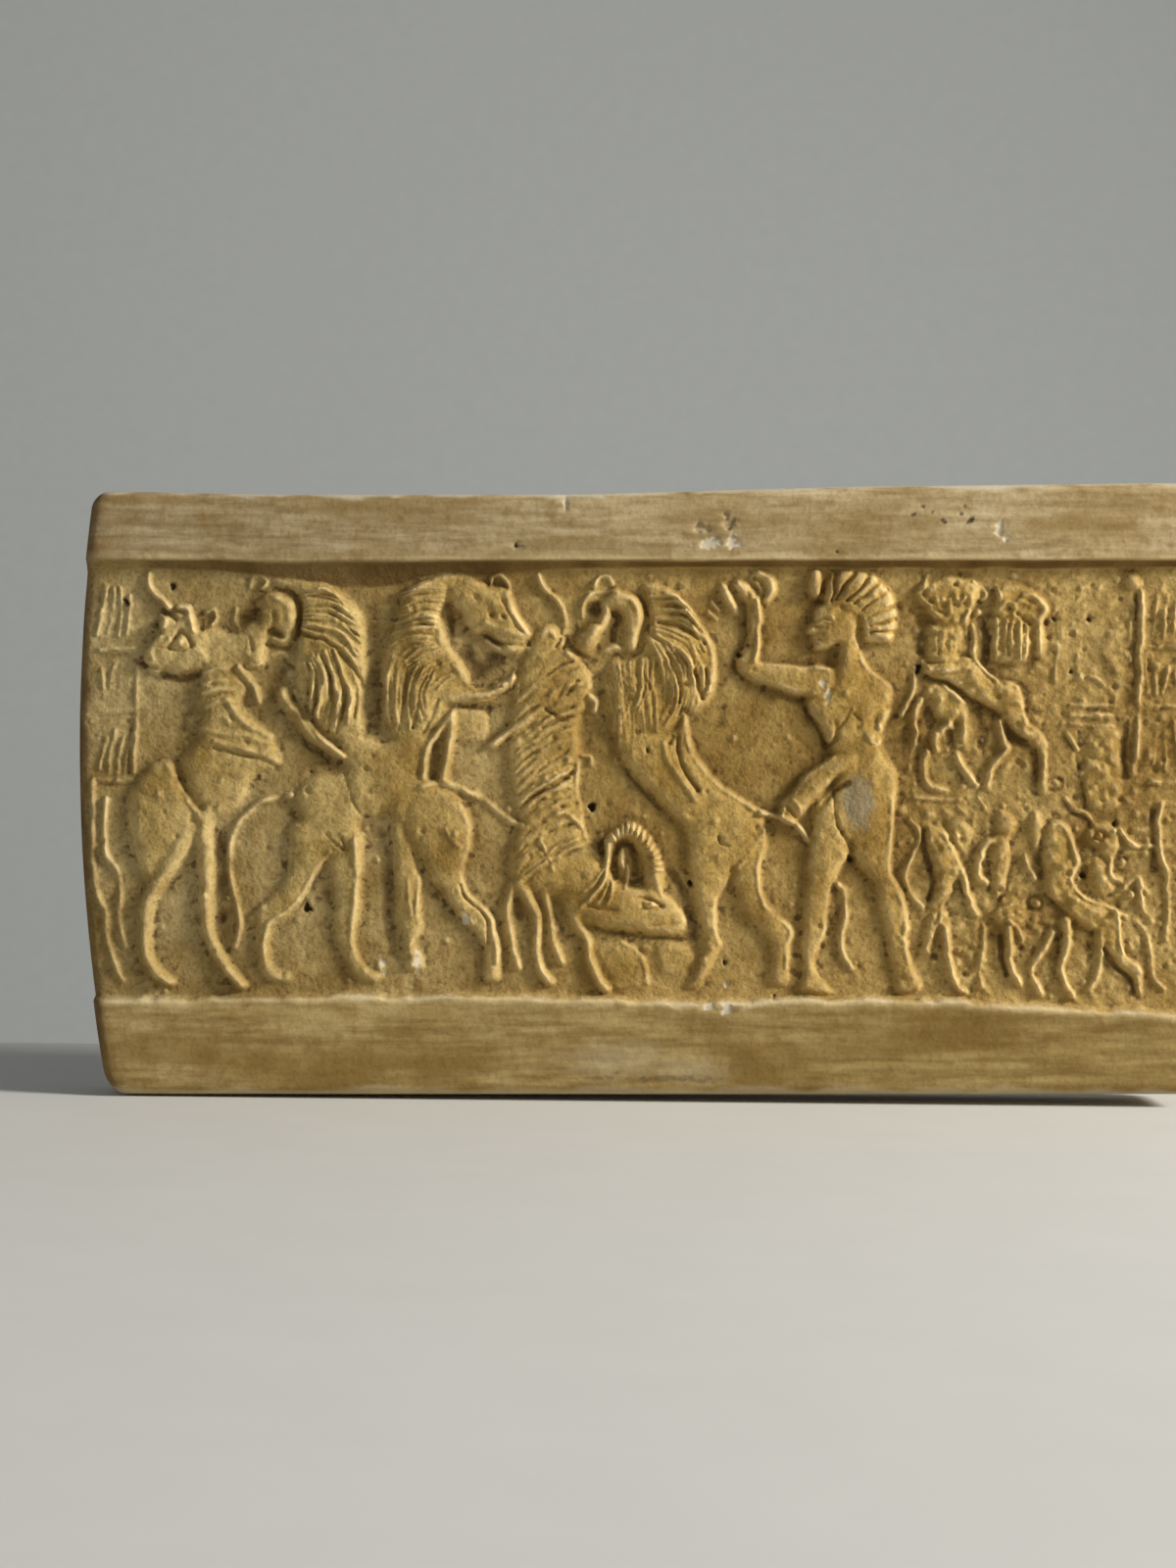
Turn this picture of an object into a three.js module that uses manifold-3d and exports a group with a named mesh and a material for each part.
import * as THREE from 'three';
import Module from 'manifold-3d';
import { mergeVertices } from 'three/addons/utils/BufferGeometryUtils.js';

const wasm = await Module();
wasm.setup();

// Driving dimensions of the tablet, in millimetres
const tabletLength = 230;
const tabletHeight = 124;
const tabletThickness = 18;
const topBandHeight = 15;
const bottomBandHeight = 19.5;
const panelDepth = 3;
const ledgeWidth = 2.2;
const ledgeDip = 2.8;
const ledgeDipCentre = 56;
const ledgeDipSpread = 12;
const lipWidth = 1;
const edgeRound = 2;
const cornerRound = 5;
const upperCornerRound = 4.5;
const endBulge = 2;
const endSwell = 7;

// How far each kind of carving stands off the panel ground
const rise = { line: 1, lock: 2.5, leg: 1.8, trunk: 2.1, head: 2.4, stroke: 0.7, small: 1.4 };
const sunk = 0.15;
const weldGap = 1e-4;

// How finely round forms are faceted
const thinSides = 4;
const fullSides = 6;
const domeFacets = { around: 8, down: 6 };
const hoopFacets = { tube: 6, around: 9 };
const slabFacets = { rim: 2, corner: 4 };
const ledgeSteps = 12;

// A beast's ear is a hoop, its tube this share of its radius
const earTube = 0.45;

// Half widths along the limbs, shared by beasts of one kind
const lionBuild = {
  skull: [4.4, 4, 2.7],
  jaw: [1.3, 1.4, 1.1],
  mane: [4.4, 5.8, 6, 4.8],
  maneEdge: 1.1,
  lock: 0.75,
  lockCount: 6,
  trunk: [5.4, 5.6, 5.6, 6.6],
  foreleg: [2.4, 2, 1.6],
  nearHindLeg: [6, 3.6, 2.3, 1.8, 1.6, 1.7],
  farHindLeg: [3.2, 2.4, 1.9, 1.6, 1.4, 1.7],
  tail: 0.8,
  ear: 1.4,
};
const bullBuild = {
  head: [4.3, 4, 3.2, 2.2],
  horn: [0.8, 1, 1.2, 1],
  thickLeg: [2.6, 1.7, 1.3, 1.2, 1.3],
  thinLeg: [1.4, 1, 0.9, 0.8],
  tail: 0.7,
  ear: 1.2,
  wrinkle: 0.6,
  wrinkleCount: 4,
  wrinkleDrop: 2.7,
};
const ramBuild = {
  trunk: [4, 5.6, 6.6, 7, 6.6],
  horn: 1.3,
  fleece: 0.8,
  fleeceRows: 6,
  fleeceTop: 84,
  fleeceDrop: 5.5,
};
const heroBuild = {
  nearLeg: [5, 3.4, 2.3, 1.4, 1.3],
  farLeg: [5, 3.4, 2.3, 1.5, 1.3],
  finger: 0.9,
  hair: [0.9, 1.2],
  hairCount: 9,
  hairFrom: 2.35, // radians above the level
  hairTo: -0.5,
  hairRoot: [3.6, 3.8],
  hairTip: [8.3, 8.6],
};
const beardBuild = {
  strand: 0.8,
  strandCount: 4,
  strandStep: 2.1,
};
const strokeBuild = {
  rule: 0.5,
  stroke: 0.55,
  tilts: [0.6, -0.4],
  clear: 1.6,
};
const smallBuild = {
  trunk: [2.2, 3.2, 3],
  leg: [1.9, 1.3, 1, 0.9],
  tail: 0.6,
};

// Panel places are given as [along, up] from the lower left corner of the tablet.
function place(along, up, out = 0) {
  const x = along - tabletLength / 2;
  const y = panelDepth - tabletThickness - out;
  const z = up - tabletHeight / 2;
  return new THREE.Vector3(x, y, z);
}

function solidFrom(geometry) {
  geometry.deleteAttribute('normal');
  geometry.deleteAttribute('uv');
  const merged = mergeVertices(geometry, weldGap);
  const corners = Array.from(merged.index.array);
  const kept = [];
  for (let i = 0; i < corners.length; i += 3) {
    const [a, b, c] = corners.slice(i, i + 3);
    const hasArea = a !== b && b !== c && c !== a;
    if (hasArea) kept.push(a, b, c);
  }
  const vertProperties = new Float32Array(merged.attributes.position.array);
  const triVerts = new Uint32Array(kept);
  return new wasm.Manifold(new wasm.Mesh({ numProp: 3, vertProperties, triVerts }));
}

function curveThrough(joints) {
  const points = joints.map(([along, up]) => place(along, up));
  return new THREE.CatmullRomCurve3(points, false, 'centripetal');
}

// A girth list is spread over the limb's length; a single number holds all along it.
function girthAt(girths, t) {
  if (typeof girths === 'number') return girths;
  const spot = t * (girths.length - 1);
  const first = Math.min(Math.floor(spot), girths.length - 2);
  return THREE.MathUtils.lerp(girths[first], girths[first + 1], spot - first);
}

// A turned spindle bent along the joints, squashed to its rise and sunk half into the ground.
function limb(joints, girths, height, sides = fullSides) {
  const curve = curveThrough(joints);
  const reach = curve.getLength();
  const steps = joints.length - 1;
  const profile = [new THREE.Vector2(0, -girthAt(girths, 0) / reach)];
  for (let i = 0; i <= steps; i += 1) {
    profile.push(new THREE.Vector2(girthAt(girths, i / steps), i / steps));
  }
  profile.push(new THREE.Vector2(0, 1 + girthAt(girths, 1) / reach));
  const spindle = new THREE.LatheGeometry(profile, sides);
  const spots = spindle.attributes.position;
  for (let i = 0; i < spots.count; i += 1) {
    const along = spots.getY(i);
    const t = THREE.MathUtils.clamp(along, 0, 1);
    const middle = curve.getPoint(t);
    const heading = curve.getTangent(t);
    const across = new THREE.Vector3(heading.z, 0, -heading.x).normalize();
    const out = spots.getZ(i) * (height / girthAt(girths, t)) - sunk;
    middle.addScaledVector(heading, (along - t) * reach);
    middle.addScaledVector(across, spots.getX(i));
    middle.y -= out;
    spots.setXYZ(i, middle.x, middle.y, middle.z);
  }
  return solidFrom(spindle);
}

function line(joints, girth, height = rise.line) {
  return limb(joints, girth, height, thinSides);
}

function boss([along, up], radius, height) {
  const dome = new THREE.SphereGeometry(radius, domeFacets.around, domeFacets.down);
  dome.scale(1, height / radius, 1);
  const middle = place(along, up);
  dome.translate(middle.x, middle.y, middle.z);
  return solidFrom(dome);
}

function ear([along, up], radius, height = rise.head) {
  const tube = radius * earTube;
  const hoop = new THREE.TorusGeometry(radius, tube, hoopFacets.tube, hoopFacets.around);
  hoop.rotateX(Math.PI / 2);
  hoop.scale(1, height / tube, 1);
  const middle = place(along, up);
  hoop.translate(middle.x, middle.y, middle.z);
  return solidFrom(hoop);
}

// Combed locks that run from one edge of a mane to the other, with a sweep to one side.
function locks(rootJoints, tipJoints, count, sweep, girth) {
  const roots = curveThrough(rootJoints);
  const tips = curveThrough(tipJoints);
  const made = [];
  for (let i = 0; i < count; i += 1) {
    const t = (i + 0.5) / count;
    const root = roots.getPoint(t);
    const tip = tips.getPoint(t);
    const middle = root.clone().lerp(tip, 0.5);
    const run = tip.clone().sub(root);
    middle.x += run.z * sweep;
    middle.z -= run.x * sweep;
    const joints = [root, middle, tip].map((p) => [p.x + tabletLength / 2, p.z + tabletHeight / 2]);
    made.push(line(joints, girth, rise.lock));
  }
  return made;
}

function lion(pose) {
  return [
    limb(pose.skull, lionBuild.skull, rise.head),
    line(pose.jaw, lionBuild.jaw, rise.head),
    ear(pose.ear, lionBuild.ear),
    limb(pose.mane, lionBuild.mane, rise.trunk),
    line(pose.maneEdge, lionBuild.maneEdge, rise.lock),
    ...locks(pose.lockRoots, pose.lockTips, lionBuild.lockCount, pose.lockSweep, lionBuild.lock),
    limb(pose.trunk, lionBuild.trunk, rise.trunk),
    ...pose.forelegs.map((joints) => limb(joints, lionBuild.foreleg, rise.leg)),
    limb(pose.nearHindLeg, lionBuild.nearHindLeg, rise.trunk),
    limb(pose.farHindLeg, lionBuild.farHindLeg, rise.leg),
    line(pose.tail, lionBuild.tail),
  ];
}

const lionFacingBull = {
  skull: [[38.5, 100.5], [36, 95], [33, 90.5]],
  jaw: [[37, 91], [35, 88.5], [32.5, 87.8]],
  ear: [33.5, 104.8],
  mane: [[42, 101], [48, 95.5], [50, 86], [49.5, 78]],
  maneEdge: [[36, 105.3], [46, 105], [53.5, 99.5], [55, 90], [54, 77]],
  lockRoots: [[42.5, 102.5], [44, 96], [42.5, 89], [43, 83]],
  lockTips: [[51, 101], [54.3, 88], [52, 76], [47.5, 76]],
  lockSweep: -0.2,
  trunk: [[50, 77], [55, 69], [62, 63], [69, 58]],
  forelegs: [[[41, 82], [44.5, 75], [51, 69.3]]],
  nearHindLeg: [[70, 54.5], [72.5, 46], [76, 39], [79.7, 34.5], [81.2, 30], [81.3, 25]],
  farHindLeg: [[64.5, 52], [63.8, 45], [64, 39], [65.2, 34], [65, 30], [65.7, 26.5]],
  tail: [[69.5, 63.3], [77, 61.5], [83, 57.8], [87, 55]],
};

const lionFacingRam = {
  skull: [[77, 100], [82, 98], [86.5, 95]],
  jaw: [[78, 91.5], [82.5, 91], [85.5, 90]],
  ear: [82.8, 104.6],
  mane: [[73, 102], [67, 95], [65, 86], [65, 78]],
  maneEdge: [[79, 104.3], [72, 105], [65, 103], [60, 94], [59.5, 78]],
  lockRoots: [[72, 103.5], [71.5, 97], [70, 90], [70.5, 82]],
  lockTips: [[63.5, 102.5], [60, 94], [60.3, 80], [65.5, 73]],
  lockSweep: 0.12,
  trunk: [[64, 77], [59, 68.5], [53, 60], [48.5, 56]],
  forelegs: [[[72, 82], [77.5, 81.5], [83.3, 81.7]], [[72, 77], [70, 70], [69.5, 65]]],
  nearHindLeg: [[48, 52.5], [43.5, 43.5], [38.5, 37.7], [35.3, 33], [35, 27], [39.5, 23.4]],
  farHindLeg: [[52, 51], [52, 44], [51.5, 37], [51.4, 31], [53.5, 27.3], [57.5, 24]],
  tail: [[43, 61.3], [35, 59.8], [28.6, 53.5], [27.8, 46], [29.7, 36], [28.8, 30]],
};

const lionHeldByTail = {
  skull: [[108.5, 98.5], [104, 96.5], [101, 92.5]],
  jaw: [[109, 91.8], [105.5, 90.7], [102.5, 89.6]],
  ear: [104.5, 104.8],
  mane: [[115, 101], [121, 95], [121.5, 86], [116, 79]],
  maneEdge: [[112, 104.3], [119, 102.5], [125, 95], [127.3, 86], [126.5, 79.5]],
  lockRoots: [[113.5, 102], [114, 96], [111.5, 90], [108, 85]],
  lockTips: [[121.5, 98.5], [125.5, 90], [120, 79], [109, 75]],
  lockSweep: -0.18,
  trunk: [[114, 80], [116, 71], [121, 64.5], [128, 58]],
  forelegs: [[[120, 80], [116, 76], [108.5, 75]]],
  nearHindLeg: [[130, 53], [127.5, 44.5], [124.8, 38.5], [125.2, 33], [126.2, 29], [124.2, 23.7]],
  farHindLeg: [[135, 51], [134.5, 44], [137, 37.8], [140.8, 33.5], [141.3, 28], [140.7, 23]],
  tail: [[132, 60.5], [137, 58.2], [141, 56.8], [145.5, 52.6]],
};

// A bull reared up with its head turned back, held at the throat.
function rearingBull() {
  const wrinkles = [];
  for (let i = 0; i < bullBuild.wrinkleCount; i += 1) {
    const drop = i * bullBuild.wrinkleDrop;
    const joints = [[22.5, 86.5 - drop], [26, 88 - drop], [29.5, 86.8 - drop]];
    wrinkles.push(line(joints, bullBuild.wrinkle, rise.trunk));
  }
  return [
    limb([[21, 95.5], [17, 92], [12.6, 89]], bullBuild.head, rise.head),
    line([[19.5, 88], [15.5, 87.2], [12.8, 87]], 1.4, rise.trunk),
    line([[11.5, 106.5], [12, 103.3], [14, 101.4], [15.2, 99.6]], bullBuild.horn, rise.lock),
    line([[16.5, 100], [19.3, 99.6], [20.3, 95]], 0.8, rise.lock),
    ear([23.8, 98], bullBuild.ear),
    limb([[22.5, 92], [25.5, 85], [28, 77]], [4.5, 5, 6.2], rise.trunk),
    ...wrinkles,
    limb([[28.5, 77], [28.5, 68], [24, 61]], [6.5, 8, 5], rise.trunk),
    limb([[12.5, 66], [16, 61.5], [20.5, 57]], [4, 4, 2.6], rise.trunk),
    line([[26.5, 81], [30.5, 76.3], [37, 72.5]], 1, rise.head),
    line([[25, 73], [31, 71.3], [38, 68]], 1, rise.head),
    line([[29.5, 87.5], [31.7, 85], [33, 81]], 1.1, rise.head),
    limb([[20.5, 57], [13.3, 43], [10.2, 35], [10.8, 26.8], [14.7, 23]], bullBuild.thickLeg, rise.leg),
    limb([[22.3, 57], [23, 44], [22.8, 35.5], [26, 27], [29.8, 22]], bullBuild.thickLeg, rise.leg),
    line([[2.3, 60.5], [2.2, 51], [4.8, 44.5], [4.9, 37], [6.3, 30.5]], bullBuild.tail),
    line([[-0.4, 64], [-0.2, 46], [2.2, 36.5], [3, 30], [5.5, 23.5]], bullBuild.tail),
  ];
}

// A shaggy horned beast standing on its forelegs, its hind quarters thrown up.
function fallenRam() {
  const fleece = [];
  for (let row = 0; row < ramBuild.fleeceRows; row += 1) {
    const up = ramBuild.fleeceTop - row * ramBuild.fleeceDrop;
    fleece.push(line([[89, up - 4], [93.5, up], [99, up + 4.5]], ramBuild.fleece, rise.head));
  }
  return [
    line([[91.3, 106.3], [92.2, 103.6], [96, 100], [96.4, 95]], bullBuild.tail, rise.small),
    limb([[94.5, 92], [95.8, 84], [94, 73], [93.3, 60], [94.5, 47]], ramBuild.trunk, rise.trunk),
    ...fleece,
    line([[81, 71.5], [86, 74.8], [90.5, 78.2], [94.3, 81]], 1.1, rise.leg),
    limb([[100, 43], [107.5, 39], [115, 36.8], [120.2, 34.4]], bullBuild.head, rise.head),
    line(
      [[104.5, 45], [105.6, 52], [109.5, 54.6], [113.5, 52.8], [116, 47.5], [116.4, 42]],
      ramBuild.horn, rise.head),
    line([[107.3, 49.5], [109, 46.5], [109.7, 42]], 0.7, rise.small),
    limb([[88, 44], [90.2, 37.5], [90.6, 31], [92.2, 23.2]], bullBuild.thickLeg, rise.leg),
    limb([[97, 39], [101, 31.6], [102.6, 24.6], [106, 20.9]], bullBuild.thickLeg, rise.leg),
    line([[86.3, 44], [85.2, 37], [85.5, 31], [87, 25.7]], bullBuild.thinLeg, rise.small),
    line([[92.3, 43], [93.3, 36], [94, 30], [96.2, 26]], bullBuild.thinLeg, rise.small),
  ];
}

// A standing man, one hand raised and the other on the lion's tail, with a crest of hair.
function hero() {
  const crown = [155.5, 97.3];
  const hair = [];
  for (let i = 0; i < heroBuild.hairCount; i += 1) {
    const share = i / (heroBuild.hairCount - 1);
    const turn = THREE.MathUtils.lerp(heroBuild.hairFrom, heroBuild.hairTo, share);
    const ends = [heroBuild.hairRoot, heroBuild.hairTip].map(
      ([wide, tall]) => [crown[0] + wide * Math.cos(turn), crown[1] + tall * Math.sin(turn)]);
    hair.push(line(ends, heroBuild.hair, rise.head));
  }
  return [
    limb([[152.5, 99], [152.3, 95.5], [152.3, 92.5]], [4.4, 4.2, 2.6], rise.head),
    limb([[156.5, 98], [157, 94.5], [156.3, 88]], [5, 4.2, 2.8], rise.trunk),
    ...hair,
    line([[129.3, 103.5], [131.6, 98.8]], heroBuild.finger, rise.leg),
    line([[132.3, 104.4], [134.5, 102.3], [135.6, 98.5]], heroBuild.finger, rise.leg),
    line([[135.6, 107], [138.2, 105], [139, 102]], heroBuild.finger, rise.leg),
    limb([[135.8, 101], [135.4, 94], [134.2, 87.5]], [1.1, 1.4, 1.8], rise.leg),
    limb([[134.2, 86.8], [140, 85.6], [148, 84.5]], [1.8, 2.6, 3.1], rise.leg),
    limb([[153.3, 86], [153.6, 79], [155.5, 71], [157.5, 63]], [6.6, 5.6, 4.4, 6.2], rise.trunk),
    limb([[158, 87], [161.4, 83.4], [161.3, 80.3]], [2.6, 2.2, 2], rise.head),
    limb([[161, 79.8], [157, 75], [150, 68.5], [143.3, 61.5]], [2, 1.9, 1.6, 1.4], rise.head),
    boss([142, 58.2], 1.9, rise.head),
    limb([[153.5, 59], [150, 49], [147.6, 36], [146.5, 27.5], [149.8, 21.4]], heroBuild.nearLeg, rise.leg),
    limb([[159.3, 60], [161, 48], [164, 37], [165, 28], [168.2, 21.4]], heroBuild.farLeg, rise.leg),
    line([[153.2, 43], [154.2, 38], [153.2, 31.5], [155.3, 25.5]], 0.7),
    boss([165.7, 58.7], 1.4, rise.small),
  ];
}

// A crossing pair of beasts with bearded heads that look straight out.
function beardedPair() {
  const strands = [];
  for (let i = 0; i < beardBuild.strandCount; i += 1) {
    const step = i * beardBuild.strandStep;
    strands.push(line([[172 + step, 96.5], [172 + step, 90]], beardBuild.strand, rise.leg));
    strands.push(line([[184.5 + step, 96.5], [184.5 + step, 88.5]], beardBuild.strand, rise.leg));
  }
  return [
    boss([175.3, 101], 4.1, rise.leg),
    boss([188.3, 99], 4.4, rise.leg),
    ...strands,
    line([[171.3, 106], [169.3, 103], [171.5, 100.3]], bullBuild.tail, rise.leg),
    line([[180, 105], [182.6, 102.5], [181, 100.5]], bullBuild.tail, rise.leg),
    line([[186, 105], [192, 102.5], [195.3, 98], [193.8, 90]], 1.1, rise.small),
    limb([[174, 86.5], [181, 85], [189, 79.5]], [2.6, 3.8, 4.2], rise.small),
    limb([[188, 86], [182, 80], [178, 75.5]], [2.6, 3, 2.6], rise.small),
    line([[190, 79], [192.3, 74.8], [194.9, 70.5], [195.2, 62.5]], smallBuild.leg, rise.leg),
    line([[171.8, 83], [169, 78], [168.6, 73.5]], 0.9, rise.small),
    line([[177, 78], [171.5, 71.8], [169.7, 67.5], [173.5, 62.8]], smallBuild.leg, rise.small),
    line([[178.6, 77.5], [177.7, 70.5], [180.8, 63.2]], 1.1, rise.small),
    line([[184.5, 77.5], [187, 71.8], [183, 63]], 1.1, rise.small),
    line([[168, 86], [166.9, 78.5], [166.6, 64]], smallBuild.tail),
    line([[168.2, 60.6], [178.6, 60.2], [190, 60.4]], 0.6),
  ];
}

// Small beasts of the lower row, mostly worn.
function smallBeasts() {
  return [
    limb([[173, 54.5], [174.3, 49], [175, 43.5]], smallBuild.trunk, rise.leg),
    line([[174.8, 53], [177.3, 47.5], [181, 37.3]], 0.9, rise.leg),
    line([[175, 43], [173.4, 37], [171.9, 30], [168.7, 23.5]], smallBuild.leg, rise.small),
    line([[175.2, 37], [174.8, 31], [176.2, 26], [179, 21]], smallBuild.leg, rise.small),
    line([[167.7, 56], [169.2, 53], [166.4, 46], [169, 38.7]], smallBuild.tail),
    boss([179.8, 54.8], 2.6, rise.small),
    boss([188, 55.5], 2.6, rise.small),
    line([[184.4, 51.3], [181.6, 48], [182.2, 43.2], [185.2, 42.4]], 0.9, rise.small),
    limb([[187.8, 52], [188, 44], [186, 36]], smallBuild.trunk, rise.small),
    line([[188, 35], [188.1, 29], [189.5, 22.5]], smallBuild.leg, rise.small),
    line([[184.2, 36], [182, 30], [181, 22.5]], smallBuild.leg, rise.small),
    line([[197.3, 56.3], [200.4, 52.3], [200.8, 43.8]], 1, rise.head),
    limb([[196.8, 52], [198, 44], [208.5, 36]], [2.8, 3.6, 2.8], rise.leg),
    line([[195.5, 40], [199, 33.5], [198.7, 26], [200.6, 20.6]], smallBuild.leg, rise.leg),
    line([[195.5, 32], [192.7, 25], [194, 20.6]], smallBuild.leg, rise.small),
    line([[205, 36], [206.2, 29], [203, 20.8]], smallBuild.leg, rise.small),
    line([[208.5, 35.5], [210.3, 29], [213.7, 25.4], [214, 20.8]], smallBuild.leg, rise.leg),
    line([[210, 37], [214.5, 34.5], [216.8, 28], [219.5, 21.6]], smallBuild.tail),
    limb([[213, 48], [208.5, 52], [204.6, 54]], [2.4, 2.4, 1.5], rise.small),
    line([[210.5, 55], [212.7, 52], [216.6, 51]], 0.6, rise.small),
    line([[210.6, 42.7], [213.6, 43.8], [216.6, 35.6]], 0.9, rise.small),
    line([[219, 60], [218.3, 53], [220.6, 40], [220.3, 31]], 0.9, rise.small),
  ];
}

// Rows of shallow strokes between ruled lines, as on a worn panel of writing.
function strokeRows(left, right, rows) {
  const made = [];
  for (const [low, high, count] of rows) {
    made.push(line([[left, low], [right, low]], strokeBuild.rule, rise.stroke));
    const foot = low + strokeBuild.clear;
    const head = high - strokeBuild.clear;
    for (let i = 0; i < count; i += 1) {
      const along = THREE.MathUtils.lerp(left, right, (i + 0.6) / (count + 0.2));
      const tilt = strokeBuild.tilts[i % strokeBuild.tilts.length];
      made.push(line([[along - tilt, foot], [along + tilt, head]], strokeBuild.stroke, rise.stroke));
    }
  }
  return made;
}

function panelFurniture() {
  return [
    ...strokeRows(0.8, 7.8, [[91, 106, 3], [79, 90, 3], [65, 77, 3]]),
    line([[8.6, 88], [8.2, 66]], strokeBuild.rule),
    ...strokeRows(216.5, 227, [[92, 106, 4], [79.5, 91, 4], [64, 78, 4]]),
    boss([213.5, 105.2], 2, rise.leg),
    line([[214.6, 103.5], [214.6, 90], [214, 78], [213, 65]], 0.9, rise.small),
    limb([[206, 72], [206, 59]], [3, 3], rise.small),
    line([[200, 79.6], [209.5, 79.4]], strokeBuild.rule, rise.stroke),
    line([[200, 76.6], [209, 76.2]], strokeBuild.rule, rise.stroke),
    ...locks([[197.5, 95], [208, 95]], [[198, 86], [209, 84]], 5, 0.05, strokeBuild.stroke),
  ];
}

// Front outline: both ends bulge a little, and the lower corners are rounder than the upper ones.
function outlineShape() {
  const halfLength = tabletLength / 2;
  const halfHeight = tabletHeight / 2;
  const lowerInset = endBulge;
  const outline = new THREE.Shape();
  outline.moveTo(-halfLength + lowerInset + cornerRound, -halfHeight);
  outline.lineTo(halfLength - lowerInset - cornerRound, -halfHeight);
  outline.quadraticCurveTo(
    halfLength - lowerInset, -halfHeight, halfLength - lowerInset, -halfHeight + cornerRound);
  outline.quadraticCurveTo(
    halfLength + endSwell, endBulge, halfLength, halfHeight - upperCornerRound);
  outline.quadraticCurveTo(halfLength, halfHeight, halfLength - upperCornerRound, halfHeight);
  outline.lineTo(-halfLength + upperCornerRound, halfHeight);
  outline.quadraticCurveTo(-halfLength, halfHeight, -halfLength, halfHeight - upperCornerRound);
  outline.quadraticCurveTo(
    -halfLength - endSwell, endBulge, -halfLength + lowerInset, -halfHeight + cornerRound);
  outline.quadraticCurveTo(
    -halfLength + lowerInset, -halfHeight, -halfLength + lowerInset + cornerRound, -halfHeight);
  return outline;
}

function slab() {
  const geometry = new THREE.ExtrudeGeometry(outlineShape(), {
    depth: tabletThickness - 2 * edgeRound,
    bevelThickness: edgeRound,
    bevelSize: edgeRound,
    bevelOffset: -edgeRound,
    bevelSegments: slabFacets.rim,
    curveSegments: slabFacets.corner,
  });
  geometry.translate(0, 0, edgeRound);
  geometry.rotateX(Math.PI / 2);
  return solidFrom(geometry);
}

// The sunk panel between the bands; the ledge under the top band dips over the crossing lions.
function panelCutter() {
  const frontClear = 4;
  const endClear = 10;
  const floorLow = bottomBandHeight + lipWidth;
  const floorHigh = tabletHeight - topBandHeight - ledgeWidth;
  const section = new THREE.Shape();
  section.moveTo(0, floorLow);
  section.lineTo(panelDepth, bottomBandHeight);
  section.lineTo(panelDepth + frontClear, bottomBandHeight);
  section.lineTo(panelDepth + frontClear, tabletHeight - topBandHeight);
  section.lineTo(panelDepth, tabletHeight - topBandHeight);
  section.lineTo(0, floorHigh);
  const run = tabletLength + 2 * endClear;
  const geometry = new THREE.ExtrudeGeometry(section, { depth: run, steps: ledgeSteps, bevelEnabled: false });
  const spots = geometry.attributes.position;
  for (let i = 0; i < spots.count; i += 1) {
    const out = spots.getX(i);
    const along = tabletLength + endClear - spots.getZ(i);
    let up = spots.getY(i);
    if (up === Math.fround(floorHigh)) {
      up -= ledgeDip * Math.exp(-(((along - ledgeDipCentre) / ledgeDipSpread) ** 2));
    }
    const spot = place(along, up, out);
    spots.setXYZ(i, spot.x, spot.y, spot.z);
  }
  return solidFrom(geometry);
}

function tablet() {
  const carving = [
    ...rearingBull(),
    ...lion(lionFacingBull),
    ...lion(lionFacingRam),
    ...fallenRam(),
    ...lion(lionHeldByTail),
    ...hero(),
    ...beardedPair(),
    ...smallBeasts(),
    ...panelFurniture(),
  ];
  const carved = carving.reduce((body, part) => body.add(part), slab().subtract(panelCutter()));
  const { vertProperties, triVerts } = carved.getMesh();
  const geometry = new THREE.BufferGeometry();
  geometry.setAttribute('position', new THREE.BufferAttribute(new Float32Array(vertProperties), 3));
  geometry.setIndex(new THREE.BufferAttribute(new Uint32Array(triVerts), 1));
  geometry.computeVertexNormals();
  return geometry;
}

const plaster = new THREE.MeshStandardMaterial({ color: 0xa88c55, roughness: 0.85, metalness: 0 });
const reliefTablet = new THREE.Mesh(tablet(), plaster);
reliefTablet.name = 'relief_tablet';

const framedRelief = new THREE.Group();
framedRelief.add(reliefTablet);

export default framedRelief;
